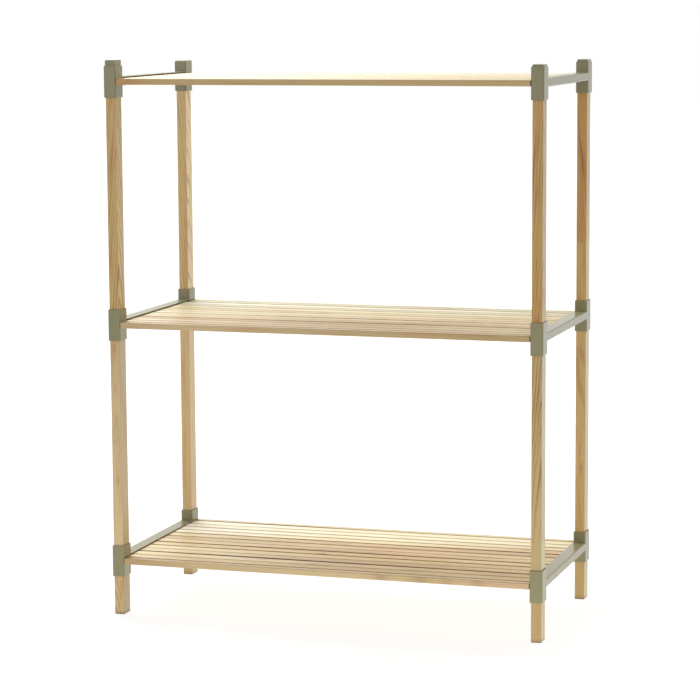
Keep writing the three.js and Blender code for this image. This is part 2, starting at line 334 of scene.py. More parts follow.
# Marks on single sticks, each a bell in both directions: where its middle is along the stick and across
# it, its half length and half width, how far it slants across for each millimetre along, how strong it
# is, and its colour. Along a post is the height above the floor.
FOOT_MARK = (0.0, 0.0, 2.2, 100, 0, 0.9, "#5f4226")
POST_MARKS = {
    "leg_front_left": [FOOT_MARK, (40, 4, 25, 3, 0.15, 0.4, "#c08a55")],
    "leg_front_right": [FOOT_MARK],
    "leg_back_left": [FOOT_MARK],
    "leg_back_right": [FOOT_MARK],
    "middle_post_front_left": [
        (422, 0, 7, 3, 0, 0.4, "#a8804f"), (360, -1, 9, 3, 0.1, 0.35, "#a8804f"),
        (315, 1, 5, 3.5, 0, 0.35, "#b08055"), (275, -2, 6, 3, 0, 0.3, "#b08055"),
        (213, 1, 6, 3, 0, 0.4, "#a8804f"),
    ],
    "middle_post_front_right": [
        (335, 2.2, 42, 0.8, 0.015, 0.55, "#b5764a"), (300, -3, 30, 1.2, 0.03, 0.4, "#a2743f"),
        (158, 0, 3, 30, 0, 0.5, "#8a6038"),
    ],
    "middle_post_back_right": [
        (398, 1.5, 15, 4, -0.2, 0.6, "#b0713a"), (343, -1, 17, 2.5, -0.15, 0.55, "#a06c38"),
        (251, 1, 20, 1.3, 0.12, 0.45, "#b0743f"), (213, 2, 9, 3, 0, 0.45, "#b0743f"),
    ],
    "upper_post_front_left": [
        (717, 0.8, 40, 1.9, 0.097, 0.6, "#a8683a"), (590, -2, 34, 1.5, 0.11, 0.35, "#a8743f"),
    ],
    "upper_post_front_right": [
        (750, 0.6, 30, 1.5, 0.068, 0.6, "#a3663a"), (672, -0.8, 24, 1.8, 0.1, 0.6, "#a3663a"),
        (540, -0.3, 42, 1.6, -0.014, 0.4, "#a3663a"), (490, 0, 5, 3, 0, 0.6, "#95552f"),
    ],
    "upper_post_back_left": [(545, 5, 62, 4, 0, 0.4, "#c98a5e"), (640, -4, 30, 2, -0.1, 0.3, "#c49350")],
    "upper_post_back_right": [
        (722, -0.9, 30, 1.1, -0.21, 0.55, "#96621f"), (700, 2, 27, 4.2, -0.1, 0.6, "#b4742f"),
        (580, 3, 3, 2.5, 0, 0.6, "#8a5a34"), (640, 0, 50, 6, 0, 0.35, "#b87a42"),
    ],
}


def marked(tone, along, across, marks):
    """The tone at each point, drawn towards each mark's colour by the mark's strength times a bell curve
    of the distance from its slanting middle line."""
    for place, offset, half_length, half_width, slant, strength, colour in marks:
        aside = across - offset - slant * (along - place)
        distance = ((along - place) / half_length) ** 2 + (aside / half_width) ** 2
        tone = tone + strength * np.exp(-distance)[:, None] * (np.array(linear(colour)[:3]) - tone)
    return tone


def stations(low, high, count, marks):
    """Places along a stick for its rings of points: even ones, and closer ones about each mark, but none
    within the margin of the stick's ends or nearer than the spacing to the one before."""
    shares = np.array([-1.6, -1, -0.6, -0.3, 0, 0.3, 0.6, 1, 1.6])
    near = [mark[0] + mark[2] * shares for mark in marks]
    places = np.sort(np.concatenate([np.linspace(low, high, count)[1:-1], *near]))
    places = places[(places > low + STATION_MARGIN) & (places < high - STATION_MARGIN)]
    return places[np.diff(places, prepend=-math.inf) > STATION_SPACING]


def straight_rows(places):
    """Path rows that carry a section at its full size past each of the places."""
    rows = np.zeros((len(places), 4))
    rows[:, 1] = places
    rows[:, 2] = 1
    return rows


def grain_of(points, middle, low, wood, seed):
    """Millimetres from the pith of the log for each point of a stick along Z. The pith stands off the
    stick's middle in its own direction, and drifts away from it by its lean along the stick."""
    distance, direction, lean = wood[:3]
    angle = math.radians(direction)
    way = np.array([math.cos(angle), math.sin(angle)])
    along = points[:, 2] - low
    grain = np.empty_like(points)
    grain[:, :2] = points[:, :2] - middle + way * (distance + lean * along[:, None])
    grain[:, 2] = along + seed * 1000
    return grain


def share_facing(normals, axis):
    """How far each point faces along an axis, as a share: none up to half of its normal, and all of it from
    nine tenths."""
    return np.clip((np.abs(normals[:, axis:axis + 1]) - 0.5) / 0.4, 0, 1)


for seed, (node, woods) in enumerate(POSTS.items()):
    low, high = (np.array(corner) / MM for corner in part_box(node))
    middle = (low[:2] + high[:2]) / 2
    width, depth = (high - low)[:2]
    marks = POST_MARKS.get(node, [])
    section, outward = with_points_across(*rounded_rectangle(width, depth, POST_ARRIS), POST_SIDE_POINTS)
    start, end = quarter_round(POST_END_ROUND, POST_END_STEPS, low[2], high[2])
    places = stations(low[2], high[2], POST_STATIONS, marks)
    joint = FINGER_JOINTS.get(node, high[2] + FINGER_LENGTH)
    below = straight_rows(places[places < joint - STATION_MARGIN])
    above = straight_rows(places[places > joint + FINGER_LENGTH + STATION_MARGIN])
    joint_ring = len(start) + len(below)
    zigzag = straight_rows([joint]) if len(woods) > 1 else np.zeros((0, 4))
    path = np.concatenate([start, below, zigzag, above, end])
    lift = np.zeros((len(path), len(section)))
    if len(woods) > 1:
        from_front = (section[:, 1] + depth / 2) / FINGER_PITCH
        lift[joint_ring] = FINGER_LENGTH * np.abs((from_front + 0.5) % 1 - 0.5) * 2
    points, normals, faces = carried(section, outward, path, lift)
    points[:, :2] += middle
    piece = new_piece(node + "_pine", (points, normals, faces), post_pine)
    corners = np.concatenate([np.array(face) for face in faces])
    face_of_corner = np.repeat(np.arange(len(faces)), [len(face) for face in faces])
    is_upper = (face_of_corner >= joint_ring * len(section)) & (face_of_corner != len(faces) - 2)
    wood_of_corner = np.where(is_upper, len(woods) - 1, 0)
    seeds = [seed + UPPER_WOOD_SEED * i for i in range(len(woods))]
    grains = np.stack([grain_of(points, middle, low[2], *pair) for pair in zip(woods, seeds)])
    corner_values(piece, "grain", grains[wood_of_corner, corners])
    plain = np.array([[linear(colour)[:3] for colour in wood[5:]] for wood in woods])
    # The left and right faces blend into the side colour, which is painted light and shade
    tones = plain[:, None, 0] + share_facing(normals, 0) * (plain[:, None, 1] - plain[:, None, 0])
    tones = np.stack([marked(tone, points[:, 2], points[:, 0] - middle[0], marks) for tone in tones])
    corner_values(piece, "tone", tones[wood_of_corner, corners])
    habits = np.array([(wood[3], wood[4], wood_seed) for wood, wood_seed in zip(woods, seeds)])
    corner_values(piece, "habit", habits[wood_of_corner])
    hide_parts(node)
    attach(piece, "unit")

# Steel end frames
# Each end of each shelf is one weldment: two lengths of 20 by 30 mm tube, the sleeves, with a stop plate
# halfway up, a folded channel between them, and pins for the short slats. It is powder-coated in one piece.
SLEEVE_WIDTH = 20
SLEEVE_DEPTH = 30
SLEEVE_WALL = 1.5
SLEEVE_CORNER = 2.5
SLEEVE_CORNER_STEPS = 6
STOP_HALF = 1
RIM_ROUND = 0.7
RIM_STEPS = 4
BAR_SHEET = 1.2
BAR_INNER_BEND = 0.8
BAR_BEND_STEPS = 5
BAR_END_RAMP = 0.3
BAR_TOP = 7.5
BAR_BOTTOM = -5.6
BAR_LIP_ROUND = 0.25
PIN_RADIUS = 2
PIN_REACH = 12
PIN_PLACES = (141.5, 159)
PIN_HEIGHT = 0.25
PIN_SIDES = 16
SLAT_COUNT = 14
SHORT_SLATS = 2
SLAT_GAP = 4.6
EDGE_SLAT_WIDTH = 12
SLAT_ENTRY = 14
SCREW_RADIUS = 3.2
SCREW_HEIGHT = 1.8
SCREW_SIDES = 16
SOCKET_SHARE = 0.45
SOCKET_DEPTH = 1.1
half_width = cad_high[0] / MM
half_depth = cad_high[1] / MM
sleeve_x = half_width - SLEEVE_WIDTH / 2
sleeve_y = half_depth - SLEEVE_DEPTH / 2
inner_x = half_width - SLEEVE_WIDTH


def powder_coat(name, colour, roughness):
    """Polyester powder coat on steel: an even satin colour that melts into a fine orange peel, a ripple of
    about 0.9 mm drawn here 1.5 mm wide so that it shows, and is a little lighter where it thins."""
    material, tree = new_material(name)
    place = add_node(tree, "TexCoord", {}, {}).outputs["Object"]
    peel = add_node(
        tree, "TexNoise", {"noise_dimensions": "3D"},
        {"Vector": place, "Scale": 1 / (1.5 * MM), "Detail": 1.0, "Roughness": 0.4},
    )
    cloud = add_node(
        tree, "TexNoise", {"noise_dimensions": "3D"},
        {"Vector": place, "Scale": 1 / (40 * MM), "Detail": 2.0, "Roughness": 0.5},
    )
    level = add_node(
        tree, "MapRange", {},
        {"Value": cloud, "From Min": 0.3, "From Max": 0.7, "To Min": 0.96, "To Max": 1.04},
    )
    coat = add_node(tree, "VectorMath", {"operation": "SCALE"}, {0: linear(colour)[:3], "Scale": level})
    gloss = add_node(tree, "Math", {"operation": "MULTIPLY_ADD"}, {0: peel, 1: 0.2, 2: roughness - 0.1})
    bump = add_node(tree, "Bump", {}, {"Strength": 0.25, "Distance": 0.05 * MM, "Height": peel})
    surface = add_node(
        tree, "BsdfPrincipled", {}, {"Base Color": coat, "Roughness": gloss, "Normal": bump, "IOR": 1.6},
    )
    add_node(tree, "OutputMaterial", {}, {"Surface": surface})
    return material


def sleeve(middle_x, middle_y, level, half_height):
    """A rectangular tube with a plate across its middle: the path runs from the plate's lower face down the
    inside, over the rounded rim, up the outside, over the other rim and down to the plate's upper face."""
    section, outward = rounded_rectangle(SLEEVE_WIDTH, SLEEVE_DEPTH, SLEEVE_CORNER, SLEEVE_CORNER_STEPS)
    angle = np.arange(RIM_STEPS + 1) / RIM_STEPS * math.pi / 2
    drawn = RIM_ROUND * (1 - np.sin(angle))
    risen = RIM_ROUND * (1 - np.cos(angle))
    outer_up = np.stack([drawn, risen - half_height, np.sin(angle), -np.cos(angle)], axis=-1)
    inner_up = np.stack([SLEEVE_WALL - drawn, risen - half_height, -np.sin(angle), -np.cos(angle)], axis=-1)
    lower = np.concatenate([[[SLEEVE_WALL, -STOP_HALF, -1, 0]], inner_up[::-1], outer_up])
    upper = lower[::-1] * np.array([1, -1, 1, -1])
    points, normals, faces = carried(section, outward, np.concatenate([lower, upper]))
    return points + np.array([middle_x, middle_y, level]), normals, faces


def channel_section():
    """The channel's outline across its length, as x outwards from the middle of the sleeve's inner face and
    z above the level: an outer wall with two rounded bends and two flanges with rounded lips."""
    outer_bend = BAR_INNER_BEND + BAR_SHEET
    bend_x = SLEEVE_WIDTH - outer_bend
    arcs = [
        (BAR_LIP_ROUND, BAR_BOTTOM + BAR_LIP_ROUND, BAR_LIP_ROUND, 180, 270, 1),
        (bend_x, BAR_BOTTOM + outer_bend, outer_bend, 270, 360, 1),
        (bend_x, BAR_TOP - outer_bend, outer_bend, 0, 90, 1),
        (BAR_LIP_ROUND, BAR_TOP - BAR_LIP_ROUND, BAR_LIP_ROUND, 90, 180, 1),
        (BAR_LIP_ROUND, BAR_TOP - BAR_SHEET + BAR_LIP_ROUND, BAR_LIP_ROUND, 180, 270, 1),
        (bend_x, BAR_TOP - outer_bend, BAR_INNER_BEND, 90, 0, -1),
        (bend_x, BAR_BOTTOM + outer_bend, BAR_INNER_BEND, 0, -90, -1),
        (BAR_LIP_ROUND, BAR_BOTTOM + BAR_SHEET - BAR_LIP_ROUND, BAR_LIP_ROUND, 90, 180, 1),
    ]
    points = []
    outward = []
    for x, z, radius, first, last, sense in arcs:
        angle = np.radians(np.linspace(first, last, BAR_BEND_STEPS + 1))
        ray = np.stack([np.cos(angle), np.sin(angle)], axis=-1)
        points.append(np.array([x, z]) + radius * ray)
        outward.append(sense * ray)
    return np.concatenate(points), np.concatenate(outward)


def channel(reach, level):
    """The channel's section carried along Y from one sleeve's wall to the other's. The outer wall runs
    further than the flanges, by a ramp between its two faces, as far as the sleeve's rounded corner. Each
    end is closed by a strip of four-sided faces between the outer and the inner half of the outline."""
    section, outward = channel_section()
    ramp = np.clip((section[:, 0] - SLEEVE_WIDTH + SLEEVE_WALL) / BAR_END_RAMP, 0, 1)
    lift = np.stack([-ramp, ramp]) * (SLEEVE_CORNER - SLEEVE_WALL / 2)
    points, normals, faces = carried(section, outward, [[0, -reach, 1, 0], [0, reach, 1, 0]], lift)
    outer = np.arange(len(section) // 2 - 1)
    inner = len(section) - 1 - outer
    strip = np.stack([outer, outer + 1, inner - 1, inner], axis=-1)
    faces = faces[:-2] + strip[:, ::-1].tolist() + (strip + len(section)).tolist()
    points = points[:, [0, 2, 1]] + np.array([inner_x, 0, level])
    return points, normals[:, [0, 2, 1]], [face[::-1] for face in faces]


def pin(middle_y, level):
    """A round steel pin along X, from inside the end of a short slat into the sleeve's wall."""
    turn = np.arange(PIN_SIDES) / PIN_SIDES * 2 * math.pi
    outward = np.stack([np.cos(turn), np.sin(turn)], axis=-1)
    path = [[0, inner_x - PIN_REACH, 1, 0], [0, inner_x + SLEEVE_WALL / 2, 1, 0]]
    points, normals, faces = carried(outward * PIN_RADIUS, outward, path)
    points = points[:, [2, 0, 1]] + np.array([0, middle_y, level + PIN_HEIGHT])
    return points, normals[:, [2, 0, 1]], faces


def turned_half(shape):
    """The same shape turned half a turn about Z, as the left-hand frames are."""
    half_turn = np.array([-1, -1, 1])
    return shape[0] * half_turn, shape[1] * half_turn, shape[2]


def slat_places():
    """The slats' middles in Y and their widths, from the front: a narrow one at each edge, and equal ones
    between them that share what the gaps leave."""
    inner_depth = 2 * (half_depth - EDGE_SLAT_WIDTH) - (SLAT_COUNT - 1) * SLAT_GAP
    widths = np.full(SLAT_COUNT, inner_depth / (SLAT_COUNT - 2))
    widths[[0, -1]] = EDGE_SLAT_WIDTH
    ends = np.cumsum(widths + SLAT_GAP) - SLAT_GAP - half_depth
    return ends - widths / 2, widths


def screw_heads(level):
    """One low dome under each long slat at the right-hand end: a quarter ellipse from the edge up to the
    crown, and a round socket down into it, turned to face the floor."""
    turn = np.arange(SCREW_SIDES) / SCREW_SIDES * 2 * math.pi
    outward = np.stack([np.cos(turn), np.sin(turn)], axis=-1)
    rise = np.radians([0, 25, 50, 68])
    inset = SCREW_RADIUS * (1 - np.cos(rise))
    dome = np.stack([inset, SCREW_HEIGHT * np.sin(rise), np.cos(rise), np.sin(rise)], axis=-1)
    rim = SCREW_RADIUS * (1 - SOCKET_SHARE)
    floor = SCREW_HEIGHT - SOCKET_DEPTH
    socket = [[rim, SCREW_HEIGHT, 0, 1], [rim, SCREW_HEIGHT, -1, 0], [rim, floor, -1, 0], [rim, floor, 0, 1]]
    points, normals, faces = carried(outward * SCREW_RADIUS, outward, np.concatenate([dome, socket]))
    facing_down = np.array([1, -1, -1])
    heads = []
    for y in slat_places()[0][SHORT_SLATS:-SHORT_SLATS]:
        place = np.array([inner_x + SLAT_ENTRY / 2, y, level + BAR_BOTTOM])
        heads.append((points * facing_down + place, normals * facing_down, faces))
    return joined(heads)


def bright_zinc(name, colour, roughness):
    """Zinc plating on steel screws: a light grey metal with small cloudy spangles, 2 mm across."""
    material, tree = new_material(name)
    place = add_node(tree, "TexCoord", {}, {}).outputs["Object"]
    spangle = add_node(
        tree, "TexNoise", {"noise_dimensions": "3D"},
        {"Vector": place, "Scale": 1 / (2 * MM), "Detail": 2.0, "Roughness": 0.5},
    )
    gloss = add_node(tree, "Math", {"operation": "MULTIPLY_ADD"}, {0: spangle, 1: 0.4, 2: roughness - 0.2})
    surface = add_node(
        tree, "BsdfPrincipled", {}, {"Base Color": linear(colour), "Metallic": 1.0, "Roughness": gloss},
    )
    add_node(tree, "OutputMaterial", {}, {"Surface": surface})
    return material


steel_coat = powder_coat("khaki powder coat on steel", "#8a845c", 0.24)
screw_zinc = bright_zinc("zinc-plated screws", "#c9cac6", 0.32)
for level_name in ("bottom", "middle", "top"):
    low, high = (np.array(corner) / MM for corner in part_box(level_name + "_end_frame_right"))
    level = (low[2] + high[2]) / 2
    half_height = (high[2] - low[2]) / 2
    shapes = [channel(half_depth - SLEEVE_DEPTH + SLEEVE_WALL / 2, level)]
    for side in (-1, 1):
        shapes.append(sleeve(sleeve_x, side * sleeve_y, level, half_height))
        shapes += [pin(side * place, level) for place in PIN_PLACES]
    right_frame = joined(shapes)
    right_heads = screw_heads(level)
    for hand in ("right", "left"):
        node = level_name + "_end_frame_" + hand
        is_right = hand == "right"
        frame_shape = right_frame if is_right else turned_half(right_frame)
        heads_shape = right_heads if is_right else turned_half(right_heads)
        steel = new_piece(node + "_steel", frame_shape, steel_coat)
        screws = new_piece(node + "_screws", heads_shape, screw_zinc)
        for piece in (steel, screws):
            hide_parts(node)
            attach(piece, "unit")

# Pine slats
# Fourteen planed pine slats to a shelf, 9.3 mm thick, of the same pine as the posts. The ten long ones run
# into the channels at both ends. The two at the front and the two at the back end at the sleeves.
slat_pine = planed_pine("oiled pine slats", "#d6c8b0", "#f6e2cc", 0.42)
# The colour of the painted shade on the slats' front and back faces, where they show in the gaps
GAP_SHADE_COLOUR = "#c9bda8"
SLAT_ARRIS = 1.1
SLAT_END_ROUND = 0.5
SLAT_END_STEPS = 2
SLAT_SIDE_POINTS = 6
SLAT_STATIONS = 25
SLAT_BOW = 0.5
SLAT_SEED = 40
SHIFT_BY_SHADE = 0.9

# How a slat lies in its log, as in the posts' table, but drawn at random within these limits. The tone
# spread is what a slat's colour is multiplied by. The front slats have values of their own.
PITH_DISTANCE = (25, 70)
PITH_LEAN = 0.02
RING_WIDTH = (2.2, 4.5)
RING_CONTRAST = (0.3, 0.9)
TONE_SPREAD = (0.97, 1.06)
FRONT_SLAT_WOOD = {"bottom": (30, 70, 0.006), "middle": (28, 80, 0.016), "top": (30, 95, 0.003)}
FRONT_SLAT_HABIT = (2.8, 0.5)
SLAT_TONES = {
    "deep": "#c4a05c", "ochre": "#ceb17b", "tan": "#cab083", "fawn": "#ccb286", "honey": "#d0b174",
    "corn": "#d4c187", "rosy": "#d3b585", "straw": "#e2c994", "wheat": "#e2d4a6", "dun": "#cfc9a2",
    "oat": "#d9d1ac", "sand": "#d6c99c", "cream": "#e7d5a2", "butter": "#eadfb4", "ivory": "#f0e6c2",
    "pearl": "#f6f0d6",
}
SLAT_WOODS = {
    "bottom": "tan honey honey deep honey honey honey rosy rosy cream ivory ivory ivory sand",
    "middle": "fawn honey honey deep deep honey rosy wheat corn butter oat pearl dun pearl",
    "top": "ochre straw wheat cream wheat straw butter wheat straw butter wheat pearl butter wheat",
}

# How much painted shade each slat's front and back faces take, from the front slat to the back one. These
# faces show in the gaps between the slats, and the darker colour stands in for the shade in the gaps; below
# 0 it paints them lighter instead. A more shaded edge also lies a little further from the slat in front, so
# that the gap there shows more.
PAINTED_GAP_SHADES = {
    "bottom": (0, 0.8, 0.2, 1.4, -0.4, 1, 1.5, -0.7, 0.5, 1.4, 0.9, 0.9, 0.4, 0.7),
    "middle": (0, 1.1, 1.1, 0.4, 1.7, 0.5, 1.5, 1.1, 0.7, 0.8, 0.8, 0.8, 1.6, 1.0),
    "top": (0, 1, 0.8, 1.2, 1, 0.7, 1.1, 1, 1.2, 0.8, 1, 1.1, 0.9, 1),
}

# Marks on single slats, as on the posts, with the length from the unit's middle to the right. The pale
# marks centred on the left end, at -330 mm, are painted sheen: the left ends lighter as they catch more
# light.
LEFT_END_SHEEN = (-330, 0, 240, 40, 0, 0.9, "#f2e2b6")
LEFT_END_GLARE = (-330, 0, 200, 40, 0, 0.8, "#fffcea")
SLAT_MARKS = {
    "bottom_slat_01": [
        (-310, 0, 70, 14, 0, 0.5, "#a9824c"), (260, 3, 260, 5, 0, 0.75, "#f2e0b8"),
        (95, -7, 11, 3, 0, 0.35, "#8a5f35"), (158, -7, 13, 3, 0, 0.4, "#8a5f35"),
        (198, -7, 8, 3, 0, 0.3, "#8a5f35"), (246, -7, 10, 3, 0, 0.4, "#8a5f35"),
        (290, -6, 60, 3, 0, 0.4, "#cfa687"),
    ],
    "bottom_slat_02": [
        (-330, 0, 200, 40, 0, 0.5, "#f2e2b6"), (125, 0, 75, 9, 0, 0.4, "#b9a06a"),
        (300, 0, 120, 30, 0, 0.3, "#e2c894"),
    ],
    "bottom_slat_03": [
        (-330, 0, 300, 40, 0, 0.9, "#f2e2b6"), (-90, 10.2, 180, 1.6, 0, 0.5, "#8a6238"),
        (125, 0, 75, 9, 0, 0.25, "#b9a06a"), (280, 0, 120, 30, 0, 0.35, "#e2c894"),
    ],
    "bottom_slat_04": [
        LEFT_END_SHEEN, (-90, -10.2, 190, 2.2, 0, 0.8, "#7a5530"), (290, 0, 90, 30, 0, 0.5, "#e6cd9a"),
    ],
    "bottom_slat_05": [LEFT_END_SHEEN],
    "bottom_slat_06": [
        (-330, 0, 200, 40, 0, 0.6, "#f2e2b6"), (0, 9.5, 330, 3.5, 0, 0.45, "#a98a52"),
        (270, 0, 130, 30, 0, 0.6, "#e8cf9c"), (-38, -8.5, 9, 6, 0, 0.7, "#9a6a3c"),
        (-38, -9, 4.5, 3.5, 0, 0.9, "#5f3d22"),
    ],
    "bottom_slat_07": [
        LEFT_END_SHEEN, (0, -9.5, 330, 4, 0, 0.45, "#a98a52"), (35, -6, 14, 5, 0, 0.6, "#a8884e"),
        (-70, 0, 140, 30, 0, 0.4, "#b08d50"), (290, 0, 110, 30, 0, 0.5, "#e2c894"),
    ],
    "bottom_slat_08": [(-240, 0, 120, 30, 0, 0.4, "#b8a878"), (290, 0, 110, 30, 0, 0.35, "#e2c894")],
    "bottom_slat_09": [
        LEFT_END_SHEEN, (-40, 0, 22, 8, 0, 0.45, "#c4926a"), (-200, -10, 25, 3, 0, 0.6, "#b07a45"),
        (290, 0, 120, 30, 0, 0.45, "#b49060"), (-90, 0, 140, 30, 0, 0.3, "#b49060"),
    ],
    "bottom_slat_10": [
        LEFT_END_GLARE, (-100, -10.2, 45, 2.5, 0, 0.6, "#8f5a35"), (225, -10.2, 95, 2.5, 0, 0.85, "#8a5430"),
        (300, 0, 110, 40, 0, 0.85, "#cba86f"),
    ],
    "bottom_slat_11": [LEFT_END_GLARE, (300, 0, 110, 40, 0, 0.6, "#dcc08c")],
    "bottom_slat_12": [LEFT_END_GLARE, (300, 0, 90, 40, 0, 0.3, "#dccc9f")],
    "bottom_slat_13": [LEFT_END_GLARE, (150, 0, 120, 40, 0, 0.5, "#f8efd0")],
    "bottom_slat_14": [(-200, -6, 95, 2.2, 0, 0.7, "#8f5f3c"), (-330, 0, 120, 30, 0, 0.4, "#b8ac84")],
    "middle_slat_01": [
        (-200, 0, 60, 12, 0, 0.4, "#e2bf9a"), (210, 3, 330, 5, 0, 0.75, "#f0ddb8"),
        (230, -7, 170, 3.5, 0, 0.6, "#b89a62"), (-230, -7, 130, 3.5, 0, 0.5, "#e0c898"),
    ],
    "middle_slat_02": [
        (-200, 0, 55, 12, 0, 0.5, "#dcb592"), (-330, 0, 90, 30, 0, 0.5, "#ead9b8"),
        (290, 0, 120, 30, 0, 0.5, "#eadbb4"),
    ],
    "middle_slat_03": [(-330, 0, 220, 40, 0, 0.85, "#f2e4be"), (290, 0, 140, 30, 0, 0.7, "#f0e0b8")],
    "middle_slat_04": [(-330, 0, 150, 30, 0, 0.3, "#d8c498"), (270, 0, 140, 30, 0, 0.65, "#e8d5a6")],
    "middle_slat_05": [
        (-330, 0, 210, 40, 0, 0.85, "#ecdcb2"), (65, -10.2, 100, 2.2, 0, 0.75, "#7f552d"),
        (90, 0, 80, 30, 0, 0.25, "#a88450"),
    ],
    "middle_slat_06": [LEFT_END_SHEEN, (300, 0, 120, 30, 0, 0.6, "#eedfb8")],
    "middle_slat_07": [(-330, 0, 280, 40, 0, 0.9, "#f4e8c4"), (300, 0, 100, 30, 0, 0.4, "#e6d8b0")],
    "middle_slat_08": [(300, 0, 150, 40, 0, 0.6, "#c9b082")],
    "middle_slat_09": [
        (-105, 0, 60, 30, 0, 0.35, "#b89a5e"), (-105, 0, 48, 8, 0, 0.35, "#c99f6c"),
        (-60, 2, 8, 5, 0, 0.75, "#9c6238"), (140, 0, 110, 30, 0, 0.4, "#eedfb4"),
    ],
    "middle_slat_11": [(320, 0, 90, 40, 0, 0.4, "#cdbf94")],
    "middle_slat_12": [(300, 0, 110, 40, 0, 0.6, "#d8cca2")],
    "middle_slat_13": [(100, -10, 52, 2.2, 0, 0.65, "#8f6238")],
    "middle_slat_14": [(100, -6, 52, 2, 0, 0.55, "#8f6238"), (-330, 0, 130, 30, 0, 0.4, "#d6d0b8")],
    "top_slat_01": [(-310, -6, 30, 3.5, 0, 0.5, "#c08448"), (150, 3, 400, 5, 0, 0.6, "#f4e8be")],
}
STREAK_COLOURS = ("#b88a52", "#efdcae", "#c9976a", "#c2a468")
STREAK_COUNT = (2, 6)
STREAK_HALF_LENGTH = (18, 110)
STREAK_HALF_WIDTH = (2, 6)
STREAK_SLANT = 0.02
STREAK_STRENGTH = (0.12, 0.42)
draw = np.random.default_rng(7)


def random_streaks(low, high, width):
    """A few weak streaks along a slat, each drawn at random in place, size, colour, slant and strength."""
    streaks = []
    for _ in range(int(draw.integers(*STREAK_COUNT))):
        place = draw.uniform(low, high)
        offset = draw.uniform(-width / 2, width / 2)
        half_length = draw.uniform(*STREAK_HALF_LENGTH)
        half_width = draw.uniform(*STREAK_HALF_WIDTH)
        colour = STREAK_COLOURS[int(draw.integers(len(STREAK_COLOURS)))]
        slant = draw.uniform(-STREAK_SLANT, STREAK_SLANT)
        strength = draw.uniform(*STREAK_STRENGTH)
        streaks.append((place, offset, half_length, half_width, slant, strength, colour))
    return streaks


def slat_shape(low, high, bow, places):
    """A stick along X with rounded arrises, its section carried past each place and bowed sideways by a
    half wave, as planed slats are. The fourth array is each point's place from the slat's middle line."""
    section = rounded_rectangle(high[1] - low[1], high[2] - low[2], SLAT_ARRIS)
    section, outward = with_points_across(*section, SLAT_SIDE_POINTS)
    start, end = quarter_round(SLAT_END_ROUND, SLAT_END_STEPS, low[0], high[0])
    points, normals, faces = carried(section, outward, np.concatenate([start, straight_rows(places), end]))
    points = points[:, [2, 0, 1]]
    local = points.copy()
    along = (points[:, 0] - low[0]) / (high[0] - low[0])
    points[:, 1] += (low[1] + high[1]) / 2 + bow * np.sin(math.pi * along)
    points[:, 2] += (low[2] + high[2]) / 2
    return points, normals[:, [2, 0, 1]], faces, local


slat_middles, slat_widths = slat_places()
for level_index, level_name in enumerate(("bottom", "middle", "top")):
    woods = SLAT_WOODS[level_name].split()
    for number in range(1, SLAT_COUNT + 1):
        seed = level_index * SLAT_COUNT + number + SLAT_SEED
        name = f"{level_name}_slat_{number:02d}"
        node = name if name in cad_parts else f"{level_name}_slat_pair_{(number - 1) // 2 * 2 + 1:02d}"
        low, high = (np.array(corner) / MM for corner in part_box(node))
        is_edge = number in (1, SLAT_COUNT)
        gap_shade = PAINTED_GAP_SHADES[level_name][number - 1]
        shift = 0 if is_edge else SHIFT_BY_SHADE * (gap_shade - 1)
        low[1] = slat_middles[number - 1] - slat_widths[number - 1] / 2 + shift
        high[1] = low[1] + slat_widths[number - 1]
        bow = draw.uniform(-SLAT_BOW, SLAT_BOW)
        if is_edge:
            bow = abs(bow) * (1 if number == 1 else -1)
        marks = SLAT_MARKS.get(name, []) + random_streaks(low[0], high[0], high[1] - low[1])
        places = stations(low[0], high[0], SLAT_STATIONS, marks)
        points, normals, faces, local = slat_shape(low, high, bow, places)
        piece = new_piece(name + "_pine", (points, normals, faces), slat_pine)
        corners = np.concatenate([np.array(face) for face in faces])
        wood = (draw.uniform(*PITH_DISTANCE), draw.uniform(0, 360), draw.uniform(-PITH_LEAN, PITH_LEAN))
        habit = (draw.uniform(*RING_WIDTH), draw.uniform(*RING_CONTRAST), seed)
        if number == 1:
            wood = FRONT_SLAT_WOOD[level_name]
            habit = (*FRONT_SLAT_HABIT, seed)
        grain = grain_of(local[:, [1, 2, 0]], np.zeros(2), low[0], wood, seed)
        corner_values(piece, "grain", grain[corners])
        plain = np.array(linear(SLAT_TONES[woods[number - 1]])[:3]) * draw.uniform(*TONE_SPREAD)
        tone = marked(np.repeat(plain[None], len(points), axis=0), local[:, 0], local[:, 1], marks)
        # The front and back faces take painted shade for the gaps between the slats
        shade = share_facing(normals, 1) * gap_shade
        tone = tone * np.clip(1 - shade * (1 - np.array(linear(GAP_SHADE_COLOUR)[:3])), 0, 1)
        corner_values(piece, "tone", tone[corners])
        corner_values(piece, "habit", np.repeat([habit], len(corners), 0))
        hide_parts(node)
        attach(piece, "unit")

# Plugs
# A rectangular plastic cup closes the top of each upper sleeve. It is moulded in the colour of the coated
# steel and pushed in by hand, so the four stand out by different amounts.
PLUG_WALL = 1.6
PLUG_ARRIS = 0.8
PLUG_ARRIS_STEPS = 4
PLUG_CORNER = 1.0
PLUG_CORNER_STEPS = 5


